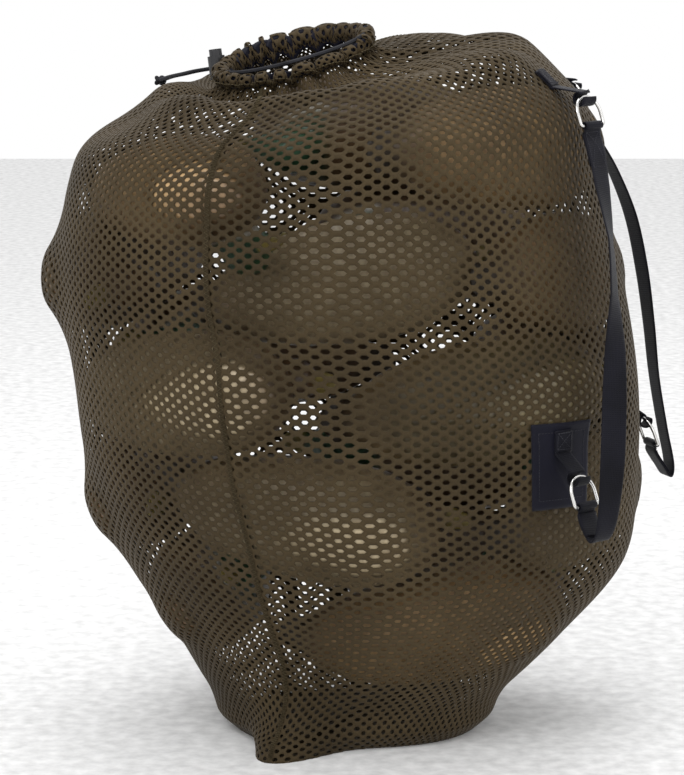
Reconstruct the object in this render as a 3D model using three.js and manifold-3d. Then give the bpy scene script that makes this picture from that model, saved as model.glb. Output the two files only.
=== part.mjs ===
// Mesh sack with a drawstring mouth and two webbing shoulder straps, packed with hollow duck decoys.
// Millimetres, +Z up, standing on z = 0. The strap side faces +X and a little towards -Y.
import * as THREE from 'three';
import { mergeVertices } from 'three/addons/utils/BufferGeometryUtils.js';
import Module from 'manifold-3d';

const wasm = await Module();
wasm.setup();

// ---------------------------------------------------------------- driving dimensions

const sackWidth = 618; // along X, at the belly
const sackDepth = 476; // along Y, at the belly
const sackHeight = 695; // up to the middle of the mouth's rim
const meshWall = 2.5; // the net with its knots and slack
const cornerFullness = 2.25; // superellipse power of a level section, 2 is an ellipse
const seamBearing = -113; // degrees round from +X to the front side seam; the back one is opposite
const seamWidth = 2.4;
const seamDepth = 9; // how far the seam allowance stands inside the sack
const cornerLength = 70; // how far each sewn bottom corner sticks out along the floor
const cornerHeight = 66;
const cornerSpread = 15; // degrees of bearing that a corner's flare takes in
const cornerInset = 14; // the bottom seam stops this far inside the corners' tips
const pieceGap = 0.3; // between pieces that touch
const seamGap = 0.6; // between a seam strip and the panels beside it

const casingHeight = 22;
const casingWall = 1.2;
const cordDiameter = 4;
const casingRoom = 1; // space round the cord inside the casing
const casingExitBearing = 150; // degrees; where the cord leaves the casing
const casingExitHalfAngle = 9;
const cordSpacing = 5.4; // between the two free ends
const knotRadius = 7;
const tailEnd = 2; // how far each end runs on into the knot

const lockRadius = 9;
const lockLength = 24;
const lockWall = 2;
const lockPlace = 18; // from the casing to the lock's middle
const buttonTravel = 3;
const buttonClearance = 0.35;
const buttonHeadLength = 7;
const springWire = 0.7;
const springTurns = 4;
const springRoom = 6.6; // below the button's foot
const slotRoom = 0.4; // round the cords in the lock's slot

const webbingWidth = 25;
const webbingThickness = 1.8;
const tabWidth = 20;
const ringWire = 3.6;
const ringHalfWidth = 17; // centreline of the wire, half the straight bar
const ringLength = 30; // centreline, from the crown of the bow to the bar
const ringCorner = 3;
const ringLean = 22; // degrees from the vertical, when the ring lies against the sack
const tabEyeRadius = 6.4; // inside the loop of webbing round the bow
const tabEyeDrop = 2; // the middle of that loop below the bow's crown
const tabSewnLength = 44;
const tabOffset = 1; // between a tab's sewn part and what it is sewn to
const strapStraight = 7; // of the strap below each bar
const barClearance = 0.6; // round the bar, inside the strap's end loop

const patchWidth = 66; // along the surface
const patchHeight = 90;
const patchThickness = 1.4;
const patchOffset = 0.8; // between the patch and the net
const patchMargin = 8; // above the sewn end of the tab

// The decoys fill the sack, so their size follows its smallest side; they suit a sack of this size.
const decoySack = { width: 618, depth: 476, height: 695 };
const decoyFit = Math.min(sackWidth / decoySack.width, sackDepth / decoySack.depth, sackHeight / decoySack.height);
const decoyLength = 285 * decoyFit;
const decoyWidth = 128 * decoyFit;
const decoyDepth = 104 * decoyFit;
const headLength = 66 * decoyFit;
const headWidth = 46 * decoyFit;
const headRise = 60 * decoyFit; // of the middle of the head above the middle of the body
const decoySetBack = 9 * decoyFit; // between the sack and the nearest side of a decoy

// Level sections from the rim to the floor, as shares of the height and the two half sizes:
// height, middle along X and Y, half size along X and Y, rise along X and Y.
const sackSections = [
  [1.0, -0.19, -0.08, 0.235, 0.2, 0.26, 0.2],
  [0.984, -0.16, -0.07, 0.33, 0.31, 0.2, 0.16],
  [1.0, -0.04, -0.02, 0.6, 0.6, 0.14, 0.06],
  [0.935, -0.045, 0, 0.855, 0.84, 0.07, 0.01],
  [0.84, -0.06, 0, 0.93, 0.92, 0.02, 0],
  [0.69, -0.035, 0, 0.99, 0.985, 0, 0],
  [0.54, 0.015, 0, 0.995, 1.0, 0, 0],
  [0.4, 0.04, 0, 0.975, 0.98, 0, 0],
  [0.26, 0.08, 0, 0.895, 0.89, 0, 0],
  [0.14, 0.06, 0, 0.7, 0.75, 0, 0],
  [0.05, 0.02, 0, 0.54, 0.6, 0, 0],
  [0.0, 0.015, 0, 0.42, 0.47, 0, 0],
];
const rimRows = 2; // sections that belong to the gathered mouth
const rowsPerSection = 1.3;
const panelColumns = 16;
const baseRows = 3;

// Strap sides: the way that the strap faces, the bearings of its upper and lower rings, and the
// heights of the rings' bows as shares of the sack's height.
const strapSides = {
  near: { faces: -46, upperBearing: -25, lowerBearing: -50, upperShare: 0.967, lowerShare: 0.4375 },
  far: { faces: 21, upperBearing: 27, lowerBearing: 17, upperShare: 0.964, lowerShare: 0.4475 },
};
const upperStandOff = 13; // of a bow from the sack
const lowerStandOff = 12.6;

// Strap routes between the two bars, chosen by hand: share of the drop, distance outwards from the
// straight line between the bars in mm, and twist in degrees.
const strapRoutes = {
  near: [
    [0.07, 6, 0], [0.16, 14, 8], [0.3, 26, 34], [0.44, 32, 26], [0.58, 34, -12],
    [0.72, 34, -34], [0.86, 33, -34], [0.97, 30, -18], [1.05, 25, -6], [1.085, 16, 0], [1.06, 6, 0],
  ],
  far: [
    [0.08, 8, 0], [0.18, 22, 4], [0.32, 32, 8], [0.48, 32, 8], [0.64, 27, 4],
    [0.8, 20, 0], [0.95, 17, 0], [1.06, 16, 0], [1.1, 10, 0], [1.07, 4, 0],
  ],
};

// The free cord ends, from the casing to the knot, chosen by hand: distance out, distance round
// towards the back, and height above the casing's exit.
const tailRoute = [
  [0, 0, 0], [24, 0, -4], [48, 0, -8], [68, 3, -12], [86, 10, -15], [104, 20, -18], [122, 28, -22],
];

// Decoys lie against the sack: bearing, height, turn of the long axis from level in degrees, roll
// about the long axis (0 shows the belly, 90 and -90 a side, 180 the back), extra set-back.
const decoyPlaces = [
  [-72, 98, 12, 0, 18],
  [56, 104, -8, 0, 16],
  [176, 106, 8, 0, 18],
  [-103, 240, -8, 0, 14],
  [-20, 245, 6, 0, 12],
  [74, 246, 4, 0, 14],
  [164, 242, -10, 0, 14],
  [-134, 370, 6, 0, 14],
  [-66, 372, 6, 0, 14],
  [25, 374, -4, 0, 16],
  [112, 372, 8, 0, 14],
  [-90, 500, 10, 0, 85],
  [-18, 504, -6, 0, 12],
  [68, 502, 4, 0, 14],
  [156, 490, -8, 0, 14],
  [-150, 652, 4, 0, 36],
  [-38, 636, -4, 0, 24],
  [80, 636, 2, 0, 24],
];

// ---------------------------------------------------------------- small tools

const rad = THREE.MathUtils.degToRad;
const vec = (x, y, z) => new THREE.Vector3(x, y, z);
const up = vec(0, 0, 1);

function finish(geometry) {
  geometry.deleteAttribute('normal');
  geometry.deleteAttribute('uv');
  return mergeVertices(geometry, 1e-4);
}

function signedVolume(points, triangles) {
  let volume = 0;
  for (const [a, b, c] of triangles) {
    volume += points[a].dot(vec().crossVectors(points[b], points[c])) / 6;
  }
  return volume;
}

// A closed body from its points and triangles, with its faces turned outwards.
function closedBody(points, triangles) {
  const outward = signedVolume(points, triangles) > 0;
  const index = triangles.flatMap(([a, b, c]) => (outward ? [a, b, c] : [a, c, b]));
  const geometry = new THREE.BufferGeometry();
  geometry.setAttribute('position', new THREE.Float32BufferAttribute(points.flatMap((p) => [p.x, p.y, p.z]), 3));
  geometry.setIndex(index);
  return geometry;
}

// A thin skin between two matching grids of points.
function skinBody(outer, inner) {
  const rows = outer.length;
  const columns = outer[0].length;
  const points = [...outer.flat(), ...inner.flat()];
  const triangles = [];
  const quad = (a, b, c, d) => triangles.push([a, b, c], [a, c, d]);
  const at = (side, row, column) => side * rows * columns + row * columns + column;
  for (let r = 0; r < rows - 1; r += 1) {
    for (let c = 0; c < columns - 1; c += 1) {
      quad(at(0, r, c), at(0, r, c + 1), at(0, r + 1, c + 1), at(0, r + 1, c));
      quad(at(1, r, c), at(1, r + 1, c), at(1, r + 1, c + 1), at(1, r, c + 1));
    }
    quad(at(0, r, 0), at(0, r + 1, 0), at(1, r + 1, 0), at(1, r, 0));
    quad(at(0, r, columns - 1), at(1, r, columns - 1), at(1, r + 1, columns - 1), at(0, r + 1, columns - 1));
  }
  for (let c = 0; c < columns - 1; c += 1) {
    quad(at(0, 0, c), at(1, 0, c), at(1, 0, c + 1), at(0, 0, c + 1));
    quad(at(0, rows - 1, c), at(0, rows - 1, c + 1), at(1, rows - 1, c + 1), at(1, rows - 1, c));
  }
  return closedBody(points, triangles);
}

// A body swept through rings of points; outline is the ring's flat shape, for the two end caps.
function sweptBody(rings, outline, endless = false) {
  const size = outline.length;
  const triangles = [];
  const steps = endless ? rings.length : rings.length - 1;
  for (let k = 0; k < steps; k += 1) {
    const here = k * size;
    const next = ((k + 1) % rings.length) * size;
    for (let m = 0; m < size; m += 1) {
      const n = (m + 1) % size;
      triangles.push([here + m, here + n, next + n], [here + m, next + n, next + m]);
    }
  }
  if (!endless) {
    const last = (rings.length - 1) * size;
    const turn = Math.sign(THREE.ShapeUtils.area(outline));
    for (const face of THREE.ShapeUtils.triangulateShape(outline, [])) {
      const same = Math.sign(THREE.ShapeUtils.area(face.map((k) => outline[k]))) === turn;
      const [a, b, c] = same ? face : [face[0], face[2], face[1]];
      triangles.push([a, c, b], [last + a, last + b, last + c]);
    }
  }
  return closedBody(rings.flat(), triangles);
}

function circleOutline(radius, sides) {
  return Array.from({ length: sides }, (_, k) => {
    const angle = (2 * Math.PI * (k + 0.5)) / sides;
    return new THREE.Vector2(radius * Math.cos(angle), radius * Math.sin(angle));
  });
}

function ringOfPoints(middle, across, along, outline) {
  return outline.map((p) => middle.clone().addScaledVector(across, p.x).addScaledVector(along, p.y));
}

function toSolid(geometry) {
  const merged = finish(geometry.clone());
  return new wasm.Manifold(new wasm.Mesh({
    numProp: 3,
    vertProperties: new Float32Array(merged.attributes.position.array),
    triVerts: new Uint32Array(merged.index.array),
  }));
}

function fromSolid(solid) {
  const mesh = solid.getMesh();
  const geometry = new THREE.BufferGeometry();
  geometry.setAttribute('position', new THREE.BufferAttribute(new Float32Array(mesh.vertProperties), 3));
  geometry.setIndex(new THREE.BufferAttribute(new Uint32Array(mesh.triVerts), 1));
  return geometry;
}

function joined(...geometries) {
  return fromSolid(geometries.map(toSolid).reduce((sum, solid) => sum.add(solid)));
}

function cut(body, ...tools) {
  return fromSolid(tools.map(toSolid).reduce((rest, tool) => rest.subtract(tool), toSolid(body)));
}

// A geometry laid in a frame given by three directions and an origin.
function placed(geometry, xAxis, yAxis, zAxis, origin) {
  const frame = new THREE.Matrix4().makeBasis(xAxis, yAxis, zAxis).setPosition(origin);
  return geometry.clone().applyMatrix4(frame);
}

// ---------------------------------------------------------------- the sack's surface

function catmull(p0, p1, p2, p3, t) {
  const linear = (p2 - p0) * t;
  const square = (2 * p0 - 5 * p1 + 4 * p2 - p3) * t * t;
  const cube = (3 * p1 - p0 - 3 * p2 + p3) * t * t * t;
  return 0.5 * (2 * p1 + linear + square + cube);
}

// One level section at place v, from 0 at the rim to 1 at the floor.
function sectionAt(v) {
  const last = sackSections.length - 1;
  const span = Math.min(v, 0.999999) * last;
  const k = Math.floor(span);
  const row = (i) => sackSections[Math.min(Math.max(i, 0), last)];
  const value = (j) => catmull(row(k - 1)[j], row(k)[j], row(k + 1)[j], row(k + 2)[j], span - k);
  return {
    height: Math.max(0, value(0)) * sackHeight,
    middle: [(value(1) * sackWidth) / 2, (value(2) * sackDepth) / 2],
    half: [(value(3) * sackWidth) / 2, (value(4) * sackDepth) / 2],
    rise: [value(5), value(6)],
  };
}

const rounded = (value) => Math.sign(value) * Math.abs(value) ** (2 / cornerFullness);

// How far a bottom corner is pulled out at this bearing and height.
function cornerPull(bearing, height) {
  if (height >= cornerHeight) return 0;
  const nearest = [seamBearing, seamBearing + 180].map((seam) => {
    const apart = THREE.MathUtils.euclideanModulo(bearing - seam + 180, 360) - 180;
    return Math.exp(-((apart / cornerSpread) ** 2));
  });
  return cornerLength * (1 - height / cornerHeight) ** 1.6 * Math.max(...nearest);
}

function surfacePoint(v, bearing) {
  const { height, middle, half, rise } = sectionAt(v);
  const dx = half[0] * rounded(Math.cos(rad(bearing)));
  const dy = half[1] * rounded(Math.sin(rad(bearing)));
  const pull = 1 + cornerPull(bearing, height) / Math.hypot(dx, dy);
  return vec(middle[0] + dx * pull, middle[1] + dy * pull, height + dx * rise[0] + dy * rise[1]);
}

function surfaceNormal(v, bearing) {
  const step = 0.004;
  const low = Math.max(v - step, 0);
  const high = Math.min(v + step, 1);
  const down = surfacePoint(high, bearing).sub(surfacePoint(low, bearing));
  const round = surfacePoint(v, bearing + 0.5).sub(surfacePoint(v, bearing - 0.5));
  return round.cross(down).negate().normalize();
}

function offsetPoint(v, bearing, distance) {
  const point = surfacePoint(v, bearing).addScaledVector(surfaceNormal(v, bearing), distance);
  point.z = Math.max(point.z, distance < 0 ? -distance : 0);
  return point;
}

// The place v, found by halving, where a test along a bearing turns true on the way down.
function placeWhere(bearing, test, from = rimRows / (sackSections.length - 1), to = 1) {
  let low = from;
  let high = to;
  for (let k = 0; k < 40; k += 1) {
    const middle = (low + high) / 2;
    if (test(surfacePoint(middle, bearing))) high = middle;
    else low = middle;
  }
  return low;
}

const placeOfHeight = (bearing, height) => placeWhere(bearing, (point) => point.z < height);

// The place v reached by climbing a distance up the sack from another place.
function climb(v, bearing, distance) {
  const start = surfacePoint(v, bearing);
  return placeWhere(bearing, (point) => point.distanceTo(start) < distance, 0, v);
}

// ---------------------------------------------------------------- mesh panels and seams

const panelRows = Math.round((sackSections.length - 1) * rowsPerSection);
const panelPlaces = Array.from({ length: panelRows + 1 }, (_, k) => k / panelRows);

// One row of a panel, from one seam to the other, stopping short of both seam strips.
function panelRow(v, firstBearing, distance) {
  const clear = seamWidth / 2 + seamGap;
  return Array.from({ length: panelColumns + 1 }, (_, c) => {
    const bearing = firstBearing + (180 * c) / panelColumns;
    const point = offsetPoint(v, bearing, distance);
    if (c > 0 && c < panelColumns) return point;
    const side = surfacePoint(v, bearing + 1).sub(surfacePoint(v, bearing - 1)).setZ(0).normalize();
    return point.addScaledVector(side, c === 0 ? clear : -clear);
  });
}

const footEnds = [seamBearing, seamBearing + 180].map((bearing) => surfacePoint(1, bearing));
const footLine = footEnds[1].clone().sub(footEnds[0]).normalize();
const footSide = vec(-footLine.y, footLine.x, 0);

// The flat base: rows that close in from the floor edge to the bottom seam.
function baseRow(edge, share) {
  const clear = seamWidth / 2 + seamGap;
  return edge.map((point) => {
    const away = point.clone().sub(footEnds[0]).dot(footSide);
    const wanted = Math.sign(away) * clear;
    return point.clone().addScaledVector(footSide, (wanted - away) * share);
  });
}

function panel(firstBearing) {
  const side = (distance) => {
    const wall = panelPlaces.map((v) => panelRow(v, firstBearing, distance));
    const edge = wall[wall.length - 1];
    const base = Array.from({ length: baseRows }, (_, k) => baseRow(edge, (k + 1) / baseRows));
    return [...wall, ...base];
  };
  return skinBody(side(0), side(-meshWall));
}

function seamOutline() {
  const half = seamWidth / 2;
  return [[-half, 0], [half, 0], [half, -seamDepth], [-half, -seamDepth]].map(([x, y]) => new THREE.Vector2(x, y));
}

function sideSeam(bearing) {
  const places = panelPlaces.filter((v) => sectionAt(v).height > seamDepth + 2 * meshWall);
  const rings = places.map((v) => {
    const across = surfacePoint(v, bearing + 1).sub(surfacePoint(v, bearing - 1)).setZ(0).normalize();
    return ringOfPoints(surfacePoint(v, bearing), across, surfaceNormal(v, bearing), seamOutline());
  });
  return sweptBody(rings, seamOutline());
}

function bottomSeam() {
  const ends = [cornerInset, -cornerInset].map((inset, k) => footEnds[k].clone().addScaledVector(footLine, inset));
  const rings = ends.map((end) => ringOfPoints(end, footSide, up.clone().negate(), seamOutline()));
  return sweptBody(rings, seamOutline());
}

// ---------------------------------------------------------------- mouth casing and drawcord

const casingInner = cordDiameter / 2 + casingRoom;

// The rim's point at a bearing, the direction out of the mouth there, and up along the casing.
function rimFrame(bearing) {
  const middle = surfacePoint(0, bearing);
  const round = surfacePoint(0, bearing + 1).sub(surfacePoint(0, bearing - 1)).normalize();
  const out = vec().crossVectors(round, up).normalize();
  return { middle, out, along: vec().crossVectors(out, round).normalize() };
}

function casingOutline() {
  const outside = casingInner + casingWall;
  const top = casingHeight + pieceGap;
  return [
    [-outside, pieceGap], [-casingInner, pieceGap], [-casingInner, top - casingWall], [casingInner, top - casingWall],
    [casingInner, pieceGap], [outside, pieceGap], [outside, top], [-outside, top],
  ].map(([x, y]) => new THREE.Vector2(x, y));
}

function casingBearings(steps, extra) {
  const first = casingExitBearing + casingExitHalfAngle + extra;
  const turn = 360 - 2 * (casingExitHalfAngle + extra);
  return Array.from({ length: steps + 1 }, (_, k) => first + (turn * k) / steps);
}

function mouthCasing() {
  const outline = casingOutline();
  const rings = casingBearings(30, 0).map((bearing) => {
    const { middle, out, along } = rimFrame(bearing);
    return ringOfPoints(middle, out, along, outline);
  });
  return sweptBody(rings, outline);
}

function drawcordLoop() {
  const height = casingHeight - casingWall - cordDiameter / 2;
  const points = casingBearings(36, 1).map((bearing) => {
    const { middle, along } = rimFrame(bearing);
    return middle.clone().addScaledVector(along, height);
  });
  const curve = new THREE.CatmullRomCurve3(points);
  const section = new THREE.Shape(circleOutline(cordDiameter / 2, 6));
  return new THREE.ExtrudeGeometry(section, { steps: 36, bevelEnabled: false, extrudePath: curve });
}

// The free ends lie over the sack, so their route stretches with it.
const tailScale = vec(sackWidth / decoySack.width, sackDepth / decoySack.depth, sackHeight / decoySack.height);

const exitFrame = (() => {
  const { middle, out, along } = rimFrame(casingExitBearing);
  const round = vec().crossVectors(up, out).normalize();
  const start = middle.clone().addScaledVector(along, casingHeight / 2 + 2);
  return { start, out: out.clone().setZ(0).normalize(), round };
})();

function tailPoint([away, aside, rise], sideways) {
  const reach = exitFrame.out.clone().multiplyScalar(away)
    .addScaledVector(exitFrame.round, -aside)
    .addScaledVector(up, rise);
  return reach.multiply(tailScale).add(exitFrame.start).addScaledVector(exitFrame.round, sideways);
}

function tailTube(side, radius, beyond) {
  const points = tailRoute.map((row) => tailPoint(row, (side * cordSpacing) / 2));
  const [before, end] = points.slice(-2);
  points.push(end.clone().addScaledVector(end.clone().sub(before).normalize(), beyond));
  const curve = new THREE.CatmullRomCurve3(points);
  const section = new THREE.Shape(circleOutline(radius, 8));
  return new THREE.ExtrudeGeometry(section, { steps: 18, bevelEnabled: false, extrudePath: curve });
}

// The knot that ties both ends together, with room for them to run into it.
function tailKnot() {
  const [before, end] = tailRoute.slice(-2).map((row) => tailPoint(row, 0));
  const onward = end.clone().sub(before).normalize();
  const knot = new THREE.SphereGeometry(knotRadius, 12, 8);
  const middle = end.clone().addScaledVector(onward, knotRadius * 0.6 + tailEnd);
  knot.translate(middle.x, middle.y, middle.z);
  const room = cordDiameter / 2 + pieceGap;
  return cut(knot, ...[-1, 1].map((side) => tailTube(side, room, tailEnd + pieceGap)));
}

// ---------------------------------------------------------------- cord lock

// The lock's own frame: x along the cords, y across them, z the way its button stands.
const lockFrame = (() => {
  const [first, second] = tailRoute.slice(0, 2).map((row) => tailPoint(row, 0));
  const along = second.clone().sub(first).normalize();
  const across = exitFrame.round.clone().addScaledVector(along, -exitFrame.round.dot(along)).normalize();
  const button = vec().crossVectors(along, across).normalize();
  return { along, across, button, middle: first.clone().addScaledVector(along, lockPlace) };
})();

const inLock = (geometry) => placed(geometry, lockFrame.along, lockFrame.across, lockFrame.button, lockFrame.middle);
const uprightCylinder = (radius, low, high, sides) => {
  const shape = new THREE.CylinderGeometry(radius, radius, high - low, sides).rotateX(Math.PI / 2);
  return shape.translate(0, 0, (low + high) / 2);
};

const lockFloor = -lockLength / 2;
const boreRadius = lockRadius - lockWall;
const slotHeight = cordDiameter + 2 * slotRoom;
const slotWidth = cordSpacing + cordDiameter + 2 * slotRoom;
const plungerRadius = boreRadius - buttonClearance;
const plungerFloor = lockFloor + lockWall + springRoom;

function lockBody() {
  const barrel = uprightCylinder(lockRadius, lockFloor, lockLength / 2, 20);
  const bore = uprightCylinder(boreRadius, lockFloor + lockWall, lockLength, 20);
  const slot = new THREE.BoxGeometry(4 * lockRadius, slotWidth, slotHeight);
  return inLock(cut(barrel, bore, slot));
}

function lockButton() {
  const plunger = uprightCylinder(plungerRadius, plungerFloor, lockLength / 2 + buttonHeadLength, 20);
  const slotLow = -cordDiameter / 2 - pieceGap;
  const slotHigh = cordDiameter / 2 + pieceGap + buttonTravel;
  const slot = new THREE.BoxGeometry(4 * lockRadius, slotWidth, slotHigh - slotLow);
  slot.translate(0, 0, (slotLow + slotHigh) / 2);
  return inLock(cut(plunger, slot));
}

function lockSpring() {
  const low = lockFloor + lockWall + pieceGap + springWire / 2;
  const high = plungerFloor - pieceGap - springWire / 2;
  const radius = plungerRadius - springWire;
  const stepsPerTurn = 8;
  const steps = springTurns * stepsPerTurn;
  const points = Array.from({ length: steps + 1 }, (_, k) => {
    const angle = (2 * Math.PI * k) / stepsPerTurn;
    return vec(radius * Math.cos(angle), radius * Math.sin(angle), low + ((high - low) * k) / steps);
  });
  const curve = new THREE.CatmullRomCurve3(points);
  const section = new THREE.Shape(circleOutline(springWire / 2, 4));
  return inLock(new THREE.ExtrudeGeometry(section, { steps, bevelEnabled: false, extrudePath: curve }));
}

// ---------------------------------------------------------------- rings, tabs, straps and patches

// A strap side's directions, and the crown of each ring's bow.
function sideFrame(name) {
  const { faces, upperBearing, lowerBearing, upperShare, lowerShare } = strapSides[name];
  const out = vec(Math.cos(rad(faces)), Math.sin(rad(faces)), 0);
  const across = vec(-out.y, out.x, 0);
  const crown = (bearing, height, standOff) => {
    const point = surfacePoint(placeOfHeight(bearing, height), bearing);
    return point.addScaledVector(out, standOff);
  };
  const lean = out.clone().multiplyScalar(Math.sin(rad(ringLean))).addScaledVector(up, -Math.cos(rad(ringLean)));
  return {
    out,
    across,
    lean,
    crowns: {
      upper: crown(upperBearing, upperShare * sackHeight, upperStandOff),
      lower: crown(lowerBearing, lowerShare * sackHeight, lowerStandOff),
    },
  };
}

const barMiddle = (frame, end) => frame.crowns[end].clone().addScaledVector(frame.lean, ringLength);

// The D-ring's centreline: a round bow with its crown at the origin, straight sides and a bar.
function ringOutline() {
  const arc = (x, y, radius, from, to, steps) => Array.from({ length: steps + 1 }, (_, k) => {
    const angle = rad(from + ((to - from) * k) / steps);
    return new THREE.Vector2(x + radius * Math.cos(angle), y + radius * Math.sin(angle));
  });
  const cornerX = ringHalfWidth - ringCorner;
  const cornerY = ringCorner - ringLength;
  return [
    ...arc(0, -ringHalfWidth, ringHalfWidth, 0, 180, 10),
    ...arc(-cornerX, cornerY, ringCorner, 180, 270, 2),
    ...arc(cornerX, cornerY, ringCorner, 270, 360, 2),
  ];
}

function ring(frame, end) {
  const points = ringOutline();
  const outline = circleOutline(ringWire / 2, 6);
  const plane = vec().crossVectors(frame.across, frame.lean).normalize();
  const rings = points.map((point, k) => {
    const before = points[(k + points.length - 1) % points.length];
    const after = points[(k + 1) % points.length];
    const tangent = after.clone().sub(before).normalize();
    const inPlane = frame.across.clone().multiplyScalar(tangent.y).addScaledVector(frame.lean, tangent.x);
    const middle = frame.crowns[end].clone()
      .addScaledVector(frame.across, point.x)
      .addScaledVector(frame.lean, -point.y);
    return ringOfPoints(middle, inPlane, plane, outline);
  });
  return sweptBody(rings, outline, true);
}

// A ribbon of webbing along points, with a width direction at each.
function ribbon(points, widths, width, thickness) {
  const outline = [[-1, -1], [1, -1], [1, 1], [-1, 1]].map(([x, y]) => new THREE.Vector2((x * width) / 2, (y * thickness) / 2));
  const rings = points.map((point, k) => {
    const ahead = points[Math.min(k + 1, points.length - 1)];
    const behind = points[Math.max(k - 1, 0)];
    const tangent = ahead.clone().sub(behind).normalize();
    const across = widths[k].clone().addScaledVector(tangent, -widths[k].dot(tangent)).normalize();
    return ringOfPoints(point, across, vec().crossVectors(tangent, across), outline);
  });
  return sweptBody(rings, outline);
}

// A loop of webbing: a short pipe across the strap.
function webbingEye(middle, across, width, insideRadius) {
  const outline = new THREE.Shape();
  outline.absarc(0, 0, insideRadius + webbingThickness, 0, 2 * Math.PI, false);
  const hole = new THREE.Path();
  hole.absarc(0, 0, insideRadius, 0, 2 * Math.PI, false);
  outline.holes.push(hole);
  const pipe = new THREE.ExtrudeGeometry(outline, { depth: width, bevelEnabled: false, curveSegments: 6 });
  pipe.translate(0, 0, -width / 2);
  const side = vec().crossVectors(up, across).normalize();
  return placed(pipe, side, vec().crossVectors(across, side), across, middle);
}

function tab(name, frame, end, offset) {
  const bearing = strapSides[name][`${end}Bearing`];
  const crown = frame.crowns[end];
  const eyeMiddle = crown.clone().addScaledVector(up, -tabEyeDrop);
  const reach = tabEyeRadius + webbingThickness / 2;
  const foot = placeOfHeight(bearing, crown.z);
  const sewn = [0.4, 0.52, 0.64, 0.76, 0.88, 1].map((share) => {
    return offsetPoint(climb(foot, bearing, tabSewnLength * share), bearing, offset);
  });
  const points = [eyeMiddle.clone().addScaledVector(up, reach), ...sewn];
  const round = surfacePoint(foot, bearing + 1).sub(surfacePoint(foot, bearing - 1)).normalize();
  const widths = points.map((_, k) => (k === 0 ? frame.across : round));
  const strip = ribbon(points, widths, tabWidth, 2 * webbingThickness);
  return joined(webbingEye(eyeMiddle, frame.across, tabWidth, tabEyeRadius), strip);
}

function strap(frame, route) {
  const stepsPerStation = 3;
  const barRadius = ringWire / 2 + barClearance;
  const reach = barRadius + webbingThickness / 2;
  const top = barMiddle(frame, 'upper');
  const bottom = barMiddle(frame, 'lower');
  const drop = bottom.clone().sub(top);
  const under = (bar, distance) => ({ point: bar.clone().addScaledVector(up, -distance), twist: 0 });
  const between = route.map(([share, outward, twist]) => {
    return { point: top.clone().addScaledVector(drop, share).addScaledVector(frame.out, outward), twist };
  });
  const stations = [
    under(top, reach), under(top, reach + strapStraight), ...between,
    under(bottom, reach + strapStraight), under(bottom, reach),
  ];
  const curve = new THREE.CatmullRomCurve3(stations.map((s) => s.point), false, 'centripetal');
  const steps = (stations.length - 1) * stepsPerStation;
  const points = Array.from({ length: steps + 1 }, (_, k) => curve.getPoint(k / steps));
  const widths = points.map((_, k) => {
    const place = k / stepsPerStation;
    const low = Math.min(Math.floor(place), stations.length - 2);
    const twist = THREE.MathUtils.lerp(stations[low].twist, stations[low + 1].twist, place - low);
    return frame.across.clone().applyAxisAngle(up, rad(twist));
  });
  return joined(
    ribbon(points, widths, webbingWidth, webbingThickness),
    webbingEye(top, frame.across, webbingWidth, barRadius),
    webbingEye(bottom, frame.across, webbingWidth, barRadius),
  );
}

function patch(name) {
  const { lowerBearing, lowerShare } = strapSides[name];
  const top = lowerShare * sackHeight + tabSewnLength + patchMargin;
  const degreesPerMm = 180 / (Math.PI * (sackDepth / 2));
  const divisions = 6;
  const grid = (distance) => Array.from({ length: divisions + 1 }, (_, r) => {
    const v = placeOfHeight(lowerBearing, top - (patchHeight * r) / divisions);
    return Array.from({ length: divisions + 1 }, (__, c) => {
      const bearing = lowerBearing + patchWidth * degreesPerMm * (c / divisions - 0.5);
      return offsetPoint(v, bearing, distance);
    });
  });
  return skinBody(grid(patchOffset + patchThickness), grid(patchOffset));
}

// ---------------------------------------------------------------- decoys

// One decoy in its own frame: x towards the bill, z up from the belly.
const decoyShape = (() => {
  const half = decoyLength / 2;
  const profile = [[-1, 0], [-0.85, 0.3], [-0.4, 0.85], [0.15, 1], [0.65, 0.87], [0.93, 0.42], [1, 0]];
  const body = new THREE.LatheGeometry(profile.map(([x, r]) => new THREE.Vector2(r, x * half)), 8);
  body.rotateZ(-Math.PI / 2);
  body.scale(1, decoyDepth / 2, decoyWidth / 2);
  body.rotateX(Math.PI / 2);
  const head = new THREE.SphereGeometry(0.5, 7, 5);
  head.scale(headLength, headWidth, headLength * 0.86);
  head.translate(half * 0.66, 0, headRise);
  const neck = new THREE.CylinderGeometry(headWidth * 0.42, headWidth * 0.62, headRise, 6);
  neck.rotateX(Math.PI / 2);
  neck.translate(half * 0.6, 0, headRise / 2);
  const bill = new THREE.SphereGeometry(0.5, 5, 3);
  bill.scale(headLength * 0.8, headWidth * 0.52, headLength * 0.24);
  bill.translate(half * 0.66 + headLength * 0.62, 0, headRise - headLength * 0.1);
  return joined(body, head, neck, bill);
})();

function decoy([bearing, height, turn, roll, setBack]) {
  const v = placeOfHeight(bearing, (height * sackHeight) / decoySack.height);
  const out = surfaceNormal(v, bearing);
  const level = vec().crossVectors(up, out).normalize();
  const nose = level.clone().applyAxisAngle(out, rad(turn));
  const top = out.clone().negate().applyAxisAngle(nose, rad(roll));
  const side = vec().crossVectors(top, nose);
  const depth = Math.abs(Math.sin(rad(roll))) * (decoyWidth / 2) + Math.abs(Math.cos(rad(roll))) * (decoyDepth / 2);
  const origin = surfacePoint(v, bearing).addScaledVector(out, -(depth + decoySetBack + meshWall + setBack * decoyFit));
  return placed(decoyShape, nose, side, top, origin);
}

// ---------------------------------------------------------------- materials and assembly

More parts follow.
